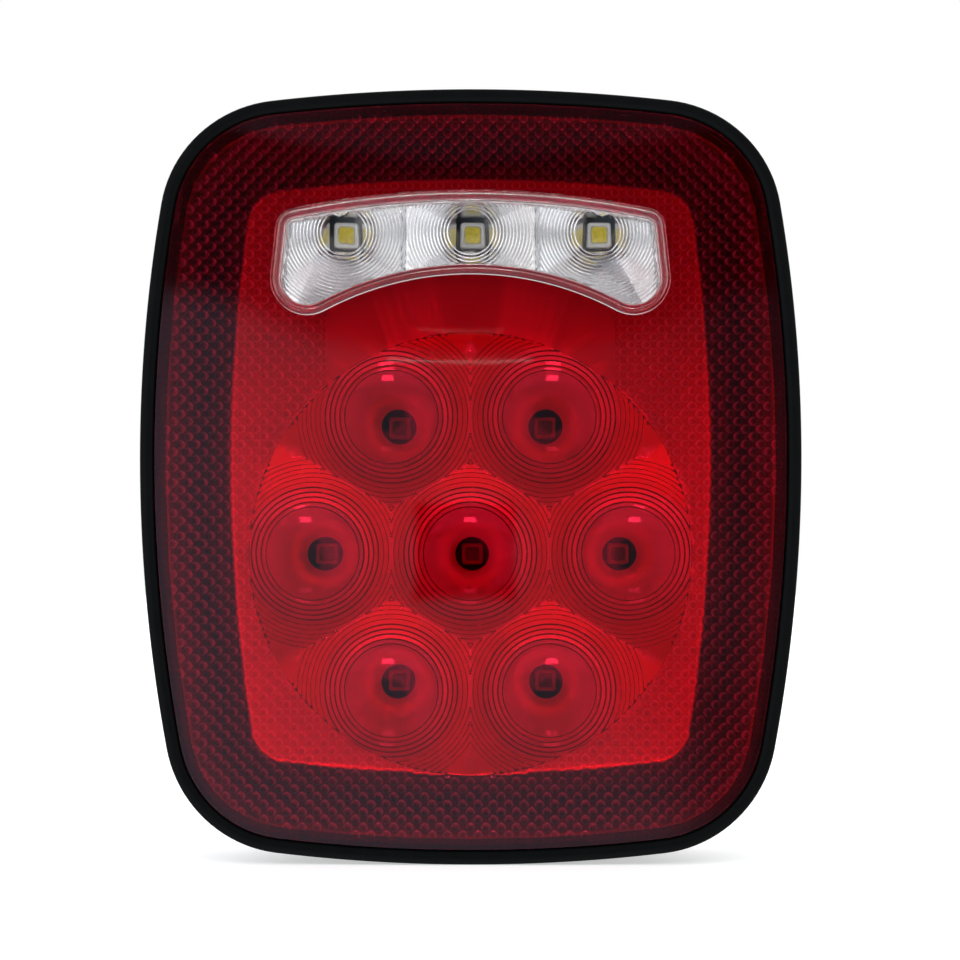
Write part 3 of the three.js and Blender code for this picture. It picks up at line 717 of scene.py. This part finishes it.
def meeting_points(places, radii):
    """Where equal circles about two neighbouring places cross."""
    found = []
    for i, p in enumerate(places):
        for q in places[i + 1:]:
            half = (q - p) / 2
            reach = np.linalg.norm(half)
            across = np.array([-half[1], half[0]]) / reach
            for r in radii:
                if r > reach:
                    rise = across * math.sqrt(r * r - reach * reach)
                    found += [p + half + rise, p + half - rise]
    found = np.array(found)
    distances = np.sort(np.linalg.norm(found[:, None] - places[None], axis=2), axis=1)
    return found[distances[:, 1] - distances[:, 0] < 1e-6]


def optic_points(places, radii, steps):
    """Plan points for ring optics about several places."""
    rings = [ring_points(p, places, radii, steps) for p in places]
    return np.concatenate([places, *rings, meeting_points(places, radii)])


def lens_plan():
    """Plan points for the lens's inner side: pillows, rings, and few points where it is plain."""
    radii = [*np.linspace(1.5, 10.6, 7), DOME_RADIUS - RISER]
    for k, (inner, outer) in enumerate(zip(GROOVES, GROOVES[1:])):
        step = NEAR_STEP if k < NEAR_GROOVES else FAR_STEP
        radii += [inner + RING_ROUND, (inner + outer) / 2, outer - step]
    optics = optic_points(RED_PLACES, radii, 150)
    optics = optics[np.linalg.norm(optics - OPTIC_CENTRE, axis=1) < OPTIC_RADIUS - 0.3]
    bump = np.concatenate([circle((0, 0), share * PILLOW_RADIUS, steps)
                           for share, steps in ((0.4, 6), (0.75, 9), (0.97, 12), (1.02, 12))])
    bumps = (PILLOWS[:, None] + bump[None]).reshape(-1, 2)
    return np.concatenate([optics, PILLOWS, bumps])


def red_lens():
    """The red lens: a smooth face outside, optics and pillows inside, and a skirt that meets the ledge."""
    shape = Shape()
    hole, seat = window_outline(), window_outline(-WINDOW_SEAT)
    outer_edge = bowed_outline(LENS_INSET)
    inner_edge = bowed_outline(LENS_INSET + SKIRT_THICKNESS)
    plain = turned_lattice(3.0)
    plain = plain[inside(plain, bowed_outline(LENS_INSET + 1)) & ~inside(plain, window_outline(1.0))]

    def keep(edge, opening):
        return lambda middles: inside(middles, edge) & ~inside(middles, opening)

    shape.sheet(plain, outer_depth, [outer_edge, hole], keep(outer_edge, hole))
    circle_in = circle(OPTIC_CENTRE, OPTIC_RADIUS - RISER / 2, 360)
    circle_out = circle(OPTIC_CENTRE, OPTIC_RADIUS + RISER / 2, 360)

    def inner(plan):
        at_edge = share_of(plan, LENS_INSET + SKIRT_THICKNESS) > 0.9995
        on_hole = inside(plan, window_outline(0.05 - WINDOW_SEAT))
        return inner_depth(plan) - np.where(at_edge | on_hole, 0, lens_relief(plan))

    loops = [inner_edge, seat, circle_in, circle_out]
    shape.sheet(lens_plan(), inner, loops, keep(inner_edge, seat), turn=True)
    shape.loft([ring(inner_edge, inner_depth(inner_edge)), ring(inner_edge, LENS_FOOT),
                ring(outer_edge, LENS_FOOT), ring(outer_edge, outer_depth(outer_edge))])
    half = LENS_THICKNESS / 2
    shape.loft([ring(hole, outer_depth(hole)), ring(hole, outer_depth(hole) - half),
                ring(seat, outer_depth(seat) - half), ring(seat, inner_depth(seat))])
    made = shape.piece("red_lens_cover", "red_lens", "red_lens", crease=50)
    plan, _, normals = face_places(made)
    optic = np.linalg.norm(plan - OPTIC_CENTRE, axis=1) < OPTIC_RADIUS
    inner_side = (normals[:, 1] > 0.7) & ~(optic & on_riser(nearest(plan, RED_PLACES)))
    # Index 2, the steep faces, takes the opaque dark red of painted shade.
    indices = np.where(inner_side, 1, np.where(normals[:, 1] < -0.5, 0, 2))
    paint_faces(made, indices, "lens_optics", "lens_step")


# ---- reversing window

WINDOW_RINGS = np.array([[k * 31.7, 60.7] for k in (-1, 0, 1)])
PLUG_DEPTH = 3.75
WINDOW_DOME = 5.8
WINDOW_DOME_BULGE = 0.6
WINDOW_GROOVE = 0.85
WINDOW_SLOPE = 0.24


def window_relief(plan):
    """Ring optics on the window's inner side: a small dome over each LED and fine grooves round it."""
    distance = nearest(plan, WINDOW_RINGS)
    dome = WINDOW_DOME_BULGE * (1 - (distance / WINDOW_DOME) ** 2)
    along = (distance - WINDOW_DOME) / WINDOW_GROOVE
    facet = (1 - along % 1) * WINDOW_GROOVE * WINDOW_SLOPE
    return np.where(distance < WINDOW_DOME, dome, facet)


def backup_window():
    """The clear window: a cap with a rounded double lip, and a plug with ring optics on its inner side."""
    seat_lift = GAP - LENS_THICKNESS / 2
    plug = -WINDOW_SEAT - GAP
    profile = [
        (plug, -PLUG_DEPTH), (plug, seat_lift), (-GAP, seat_lift), (-GAP, 0.45), (-0.45, 0.7),
        (-0.8, 0.8), (-1.1, 0.7), (-1.3, 0.45), (-1.6, 0.4), (-1.9, 0.6), (-2.2, 0.65), (-2.5, 0.5),
        (-2.7, 0.1)]
    shape = Shape()
    shape.loft([ring(window_outline(by), outer_depth(window_outline(by)) + lift) for by, lift in profile])
    face, back = window_outline(-2.7), window_outline(plug)
    coarse = turned_lattice(3.0)
    coarse = coarse[inside(coarse, window_outline(-3.2))]
    shape.sheet(coarse, lambda p: outer_depth(p) + 0.1, [face], lambda m: inside(m, face))
    radii = [*np.linspace(1.0, 5.0, 5), WINDOW_DOME - RISER]
    for k in range(34):
        inner = WINDOW_DOME + k * WINDOW_GROOVE
        radii += [inner + RISER / 2, inner + WINDOW_GROOVE - RISER]
    optics = optic_points(WINDOW_RINGS, radii, 140)
    optics = optics[inside(optics, window_outline(plug - 0.2))]

    def inner_face(plan):
        relief = np.where(inside(plan, window_outline(plug - 0.05)), window_relief(plan), 0)
        return outer_depth(plan) - PLUG_DEPTH - relief

    shape.sheet(optics, inner_face, [back], lambda m: inside(m, back), turn=True)
    made = shape.piece("backup_window_lens", "clear_window", "backup_window", crease=35)
    normals = face_places(made)[2]
    # The slanted faces take the pink tint of painted reflection.
    paint_faces(made, (normals[:, 1] > 0.1) & (normals[:, 1] < 0.9), "window_step")


# ---- reflectors

CUP_MOUTH = 12.2
CUP_THROAT = 2.6
CUP_DEPTH = 22.5
BEZEL_EDGE = 1.2
LEG_PLACES = [(-54, 28), (54, 28), (-40, -68), (40, -68)]
LEG_RADIUS = 2.2


def cup_profile(offset, steps=18):
    """A cup's (radius, depth) steps from throat to mouth: a shallow dish, then a steep wall."""
    shares = np.linspace(0, 1, steps) ** 2.2
    radii = CUP_THROAT + (CUP_MOUTH - CUP_THROAT) * shares**0.4 + offset
    return list(zip(radii, REFLECTOR_FRONT - CUP_DEPTH * (1 - shares)))


def bezel_reflector():
    """A bezel plate with a rolled edge, seven smooth cups and four legs, open behind the window."""
    shape = Shape()
    front, back = REFLECTOR_FRONT, REFLECTOR_FRONT - REFLECTOR_SKIN
    opening = window_outline(-3.2)
    mouths = [circle(place, CUP_MOUTH + 0.4, 64) for place in RED_PLACES]
    outer_mouths = [circle(place, CUP_MOUTH + REFLECTOR_SKIN, 64) for place in RED_PLACES]
    edge = bowed_outline(BEZEL_EDGE, BEZEL)
    flat_sheet(shape, edge, [opening, *mouths], front)
    flat_sheet(shape, edge, [opening, *outer_mouths], back, turn=True)
    turn = [(BEZEL_EDGE * (1 - math.sin(a)), front - BEZEL_EDGE * (1 - math.cos(a)))
            for a in np.linspace(0, math.pi / 2, 6)]
    rolled = [ring(bowed_outline(inset, BEZEL), depth) for inset, depth in turn]
    shape.loft([*rolled, ring(bowed_outline(BEZEL_EDGE, BEZEL), back)])
    shape.loft([ring(opening, front), ring(opening, back)])
    for place in RED_PLACES:
        wall = cup_profile(0)[:-1]
        lip = [(CUP_MOUTH, front - 0.35), (CUP_MOUTH + 0.12, front - 0.1), (CUP_MOUTH + 0.4, front)]
        outer = [(r, min(d, back)) for r, d in cup_profile(REFLECTOR_SKIN)]
        shape.loft(turned_rings([*outer[::-1], *wall, *lip], place))
    foot = BEZEL_LOW[2]
    for place in LEG_PLACES:
        leg = [(LEG_RADIUS - 0.3, foot), (LEG_RADIUS, foot + 0.3), (LEG_RADIUS, back + REFLECTOR_SKIN / 2)]
        closed_turning(shape, turned_rings(leg, place, 32))
    made = shape.piece("bezel_reflector", "cup_metallised", "main_reflector")
    plan, depth, _ = face_places(made)
    plate = (depth > front - 0.1) | (nearest(plan, RED_PLACES) > CUP_MOUTH + 0.3)
    paint_faces(made, plate, "satin_metallised")


# ---- LEDs


def led_package(node, window_material, window_half):
    """A moulded LED package with a sunken square light window, and the window in it."""
    low, high = lamp_box(node)
    centre, half = (low + high)[:2] / 2, (high - low)[0] / 2
    top, foot = high[2], low[2]
    package = node.rsplit("_", 1)[0]

    def outline(by):
        return rounded_box(centre, half - by, half - by, 0.4)

    def well(by):
        return rounded_box(centre, window_half - by, window_half - by, 0.35)

    body = Shape()
    body.loft([ring(outline(by), depth) for by, depth in ((0.0, foot), (0.0, top - 0.12), (0.12, top))])
    flat_sheet(body, outline(0), [], foot, turn=True)
    flat_sheet(body, outline(0.12), [well(0)], top)
    body.loft([ring(well(0), top), ring(well(0.15), top - 0.3)])
    flat_sheet(body, well(0.15), [], top - 0.3)
    body.piece(f"{node}_body", package, node, crease=35)
    window = Shape()
    crown = [(0.17, top - 0.28), (0.17, top - 0.1), (0.35, top - 0.05)]
    window.loft([ring(well(by), depth) for by, depth in crown])
    flat_sheet(window, well(0.17), [], top - 0.28, turn=True)
    flat_sheet(window, well(0.35), [], top - 0.05)
    window.piece(f"{node}_window", window_material, crease=35)


# ---- rear hardware

THREAD_PITCH = 1.27
THREAD_DEPTH = 0.62
THREAD_ROWS = 10
STUD_RADIUS = 3.175
NUT_FLATS = 11.1
NUT_BORE = 3.28
WASHER_BORE = 3.5


def threaded(radius, low, high, centre, steps=48, inward=False):
    """Rings of a screw thread from low to high, with some rows a turn, fading out at both ends."""
    rows = int((high - low) / THREAD_PITCH * THREAD_ROWS)
    angles = 2 * math.pi * np.arange(steps) / steps
    rings = []
    for depth in np.linspace(low, high, rows + 1):
        turn = (depth / THREAD_PITCH - angles / (2 * math.pi)) % 1
        cut = THREAD_DEPTH * np.clip(np.abs(turn * 2 - 1) * 1.25 - 0.12, 0, 1)
        fade = max(0.0, min(1.0, (depth - low) / 0.6, (high - depth) / 0.6))
        if inward:
            radii = np.minimum(radius + cut, radius + 0.5)
        else:
            radii = np.minimum(radius - cut, radius - 0.7 * (1 - fade))
        rings.append(ring(around(centre, radii, angles), depth))
    return rings


def stud(k):
    """A stud: a round head inside the housing and a threaded shank out of the back."""
    node = f"mounting_stud_{k}"
    low, high = lamp_box(node)
    centre, head_radius = plan_centre(node), (high - low)[0] / 2
    head_back = high[2] - 3
    shape = Shape()
    head = filleted([(STUD_RADIUS, head_back), (head_radius, head_back), (head_radius, high[2]),
                     (head_radius - 2, high[2])], 0.3)
    shank = threaded(STUD_RADIUS, low[2], head_back - 1.0, centre)
    closed_turning(shape, [*shank, *turned_rings(head, centre, 48)])
    shape.piece(f"threaded_stud_{k}", "steel", node, crease=50)


def nut(k):
    """A hexagon nut: cone-chamfered faces and a threaded bore."""
    node = f"mounting_nut_{k}"
    low, high = lamp_box(node)
    centre, flats = plan_centre(node), NUT_FLATS / 2
    back, front = low[2], high[2]
    steps = 96
    angles = 2 * math.pi * np.arange(steps) / steps
    hexagon = flats / np.cos((angles % (math.pi / 3)) - math.pi / 6)
    corner = flats / math.cos(math.pi / 6)
    fall = np.maximum(0, hexagon - flats * 0.985) * math.tan(math.radians(32))
    hexagon = np.minimum(hexagon, corner - 0.12)
    spin = math.pi / 6

    def at(radii, depth):
        return ring(around(centre, radii, angles + spin), depth)

    face_radius, mouth_radius = np.full(steps, flats * 0.975), np.full(steps, NUT_BORE + 0.45)
    thread = threaded(NUT_BORE, back + 0.4, front - 0.4, centre, steps, inward=True)
    shape = Shape()
    shape.loft([
        at(mouth_radius, back), at(face_radius, back), at(hexagon, back + fall + 0.05),
        at(hexagon, front - fall - 0.05), at(face_radius, front), at(mouth_radius, front),
        *reversed(thread)], closed=True)
    shape.piece(f"hex_nut_{k}", "steel", node, f"nut_{k}", crease=30)


def washers(k):
    """A stamped flat washer and a split spring washer whose ends are sprung apart."""
    low, high = lamp_box(f"flat_washer_{k}")
    centre, outer = (low + high)[:2] / 2, (high - low)[0] / 2
    bore = WASHER_BORE
    section = filleted([(bore, low[2] + 0.4), (bore, low[2]), (outer, low[2]), (outer, high[2]),
                        (bore, high[2]), (bore, low[2] + 0.6)], 0.25)
    flat = Shape()
    flat.loft(turned_rings(section, centre, 96), closed=True)
    flat.piece(f"stamped_washer_{k}", "steel", f"flat_washer_{k}", f"washers_{k}")
    low, high = lamp_box(f"lock_washer_{k}")
    outer = (high - low)[0] / 2
    middle, lean, gap = (low + high)[2] / 2, 0.14, 0.24
    half = (high - low)[2] / 2 - lean
    radii, lifts = np.transpose([
        (bore, -half), (outer - 0.25, -half), (outer, -half + 0.25), (outer, half - 0.25),
        (outer - 0.25, half), (bore, half)])
    shape = Shape()
    closed_turning(shape, [
        ring(around(centre, radii, gap / 2 + t * (2 * math.pi - gap)), lifts + middle + lean * (2 * t - 1))
        for t in np.linspace(0, 1, 73)])
    shape.piece(f"spring_washer_{k}", "steel", f"lock_washer_{k}", f"washers_{k}")


def gasket():
    """A rubber pad with a rounded edge and holes for the studs and the inlet."""
    back, front = (corner[2] for corner in lamp_box("mounting_gasket"))
    edge, flat = 14.0, 14.8
    shape = Shape()
    profile = filleted([(flat, back), (edge, back), (edge, front), (flat, front)], 0.5)
    shape.loft([ring(bowed_outline(inset), depth) for inset, depth in profile])
    outline = bowed_outline(flat)
    holes = rear_holes(stud=3.8, half_width=13.6, half_height=8.1)
    drilled_plate(shape, holes, (outline, back), (outline, front))
    shape.piece("gasket_pad", "rubber", "mounting_gasket")


SHROUD_HALF_WIDTH, SHROUD_HALF_HEIGHT = 13.0, 7.5
SHROUD_WALL = 1.8
INLET_FLANGE = 3.4


def inlet():
    """The inlet's rounded shroud, its floor with four slots, and the flange inside the housing."""
    low, high = lamp_box("inlet_socket")
    centre = plan_centre("inlet_socket")
    mouth, flange_front = low[2], high[2]
    flange_back = flange_front - 1.5
    floor = 1.0

    def outer(by):
        return rounded_box(centre, SHROUD_HALF_WIDTH + by, SHROUD_HALF_HEIGHT + by, 2.2 + by)

    def hollow(by):
        wide, tall = SHROUD_HALF_WIDTH - SHROUD_WALL, SHROUD_HALF_HEIGHT - SHROUD_WALL
        return rounded_box(centre, wide + by, tall + by, 1.2 + by)

    slots = [rounded_box(plan_centre(f"{job}_terminal"), 1.7, 0.7, 0.25, 3)
             for job in ("ground", "tail", "stop_turn", "backup")]
    shape = Shape()
    shape.loft([
        ring(hollow(0), floor), ring(hollow(0), mouth + 1.0), ring(hollow(0.25), mouth + 0.3),
        ring(hollow(0.6), mouth), ring(outer(-0.5), mouth), ring(outer(-0.15), mouth + 0.15),
        ring(outer(0), mouth + 0.5), ring(outer(0), flange_back), ring(outer(INLET_FLANGE), flange_back),
        ring(outer(INLET_FLANGE), flange_front)])
    drilled_plate(shape, slots, (hollow(0), floor), (outer(INLET_FLANGE), flange_front))
    shape.piece("inlet_shroud", "nylon", "inlet_socket", crease=35)


# ---- carried-over CAD pieces

# The material for each kind of CAD node that stays, by a part of its name.
CARRIED = {
    "seal": "sealant", "backup_reflector": "metallised", "circuit_board": "board", "board_screw": "steel",
    "driver_chip": "component", "ballast_resistor": "component", "rectifier_diode": "component",
    "surge_suppressor": "component", "filter_capacitor": "capacitor", "terminal": "tin",
}


def dress_carried_nodes():
    """Materials, and a small bevel where an edge shows, for the CAD nodes that stay."""
    for name, node in frame["nodes"].items():
        key = next((k for k in CARRIED if k in name), None)
        if key is None:
            continue
        node.data.materials.clear()
        node.data.materials.append(MATERIALS[CARRIED[key]])
        if key not in ("seal", "circuit_board"):
            bevel = node.modifiers.new("edge", "BEVEL")
            bevel.width = 0.12 * MM
            bevel.segments = 2
            bevel.limit_method = "ANGLE"
            bevel.angle_limit = math.radians(40)


# ---- stage, light and camera


def floor():
    """A plain pale floor under the lamp's lowest point."""
    level = CAD_BOX[0][2]
    reach, front = 4.0, -1.2
    mesh = bpy.data.meshes.new("floor")
    corners = [(-reach, front, level), (reach, front, level), (reach, reach, level), (-reach, reach, level)]
    mesh.from_pydata(corners, [], [(0, 1, 2, 3)])
    made = bpy.data.objects.new("floor", mesh)
    bpy.context.scene.collection.objects.link(made)
    white = bpy.data.materials.new("pale_floor")
    white.use_nodes = True
    inputs = opened(white)[1]
    inputs["Base Color"].default_value = rgb(0.88, 0.88, 0.88)
    inputs["Roughness"].default_value = 0.9
    inputs["Specular IOR Level"].default_value = 0.1
    inputs["Emission Color"].default_value = rgb(1, 1, 1)
    inputs["Emission Strength"].default_value = 0.45
    mesh.materials.append(white)
    made.visible_glossy = made.visible_transmission = False


# Lights in front of the lamp, by the tangents of their angles from the lens axis:
# left, right, bottom, top, softness of the edge, and strength.
SOFTBOXES = [
    (-0.18, 0.18, -1.25, -0.95, 0.04, 20.0),
    (-0.18, 0.18, 1.0, 1.25, 0.04, 4.0),
    (-2.6, -0.6, -0.6, 1.2, 0.2, 0.9),
    (0.6, 2.6, -0.6, 1.2, 0.2, 0.7),
    (-1.6, 1.6, -3.0, -0.8, 0.2, 1.9),
]
STRIPS = [(-0.09, 0.048, 0.126, 0.1268, 0.0005, 4.0), (-0.06, 0.02, 0.1515, 0.152, 0.0005, 1.6)]
CAMERA_SHADE = (-0.065, 0.033, -0.068, 0.010, 0.006, 1.0)

# The tent shines from a ring outside these tangents, less from above.
TENT = 1.45
TENT_START, TENT_FULL = 0.37, 0.52
TENT_ABOVE = 0.55
NEAR_GREY = rgb(0.75, 1.0, 1.3)

# How much of the tent and the softboxes a surface mirrors to the outside.
GLOSSY_SHARE = 0.35


def world():
    """Soft studio light painted on the sky: white as seen directly, with a dark camera side."""
    made = bpy.data.worlds.new("studio")
    bpy.context.scene.world = made
    made.use_nodes = True
    made.node_tree.nodes.clear()
    graph = Graph(made.node_tree)
    x, y, z = graph.node("SeparateXYZ", {0: graph.node("TexCoord").outputs["Generated"]}).outputs
    ahead = graph.math("MAXIMUM", graph.product(y, -1.0), 0.02)
    across, up = graph.math("DIVIDE", x, ahead), graph.math("DIVIDE", z, ahead)

    def between(value, low, high, soft):
        rise = graph.remap(value, low - soft, low + soft, 0, 1, smooth=True)
        fall = graph.remap(value, high - soft, high + soft, 1, 0, smooth=True)
        return graph.product(rise, fall)

    def patch(left, right, bottom, top, soft, strength):
        return graph.product(between(across, left, right, soft), between(up, bottom, top, soft), strength)

    # Near the camera: a faint grey, brightest at the lower left, with dark gaps.
    lean = graph.total(0.2, graph.product(across, -0.5), graph.product(up, -0.5))
    near = graph.math("MAXIMUM", graph.math("MINIMUM", lean, 0.4), 0.05)
    lower_right = graph.product(graph.remap(across, 0.06, 0.2, 0, 0.6, smooth=True),
                                graph.remap(up, -0.12, -0.02, 1, 0, smooth=True))
    above = graph.product(between(up, 0.132, 0.3, 0.012), between(across, -3.0, 3.0, 0.3), 0.9)
    gaps = graph.math("MAXIMUM", patch(*CAMERA_SHADE), above)
    near = graph.product(near, graph.less(1.0, lower_right), graph.less(1.0, gaps))
    grey = graph.mix(near, rgb(0, 0, 0), NEAR_GREY)

    ring_light = graph.remap(graph.length(across, up), TENT_START, TENT_FULL, 0, TENT, smooth=True)
    tent = graph.product(ring_light, graph.remap(up, 0.0, 0.7, 1.0, TENT_ABOVE, smooth=True))
    path = graph.node("LightPath").outputs
    mirrored = graph.math("MAXIMUM", graph.less(path["Is Glossy Ray"], path["Is Transmission Ray"]), 0.0)
    wide = graph.total(*[patch(*box) for box in SOFTBOXES], tent)
    wide = graph.product(wide, graph.remap(mirrored, 0, 1, 1, GLOSSY_SHARE))
    front = graph.mix(1.0, grey, graph.total(wide, *[patch(*strip) for strip in STRIPS]), "ADD")
    back = graph.mix(graph.remap(z, -0.2, 0.9, 0, 1), rgb(0.7, 0.7, 0.7), rgb(1.2, 1.2, 1.2))
    unseen = graph.mix(graph.remap(y, -0.12, 0.12, 1, 0, smooth=True), back, front)
    color = graph.mix(path["Is Camera Ray"], unseen, rgb(1, 1, 1))
    background = graph.node("Background", {"Color": color, "Strength": 1.0})
    graph.node("OutputWorld", {0: background.outputs[0]})


# Where the camera stands and aims: right, up, and forward of the rim, in millimetres.
CAMERA_PLACE = (6.5, -20.0, 596.8)
CAMERA_AIM = (2.4, -1.3, 0.0)


def camera():
    """The camera stands before the right of the middle, a little low, and aims near the middle."""
    data = bpy.data.cameras.new("camera")
    data.lens = 90
    data.sensor_width = 36
    data.clip_start = 0.01
    made = bpy.data.objects.new("camera", data)
    bpy.context.scene.collection.objects.link(made)
    place, aim = (Vector((u, -(RIM_FRONT + d), v)) * MM for u, v, d in (CAMERA_PLACE, CAMERA_AIM))
    made.location = place
    made.rotation_euler = (aim - place).to_track_quat("-Z", "Y").to_euler()
    bpy.context.scene.camera = made


def rendering():
    scene = bpy.context.scene
    scene.view_settings.view_transform = "Standard"
    scene.cycles.use_denoising = True
    scene.cycles.max_bounces = 20
    scene.cycles.transmission_bounces = 20
    scene.cycles.glossy_bounces = 10
    scene.cycles.diffuse_bounces = 3
    scene.cycles.blur_glossy = 0.3


# ---- everything together

camera()
housing()
red_lens()
backup_window()
bezel_reflector()
for k in range(1, 8):
    led_package(f"red_led_{k}", "red_die", 1.15)
for k in range(1, 4):
    led_package(f"white_led_{k}", "phosphor", 1.1)
for k in (1, 2, 3):
    stud(k)
    nut(k)
    washers(k)
gasket()
inlet()
dress_carried_nodes()
floor()
world()
rendering()
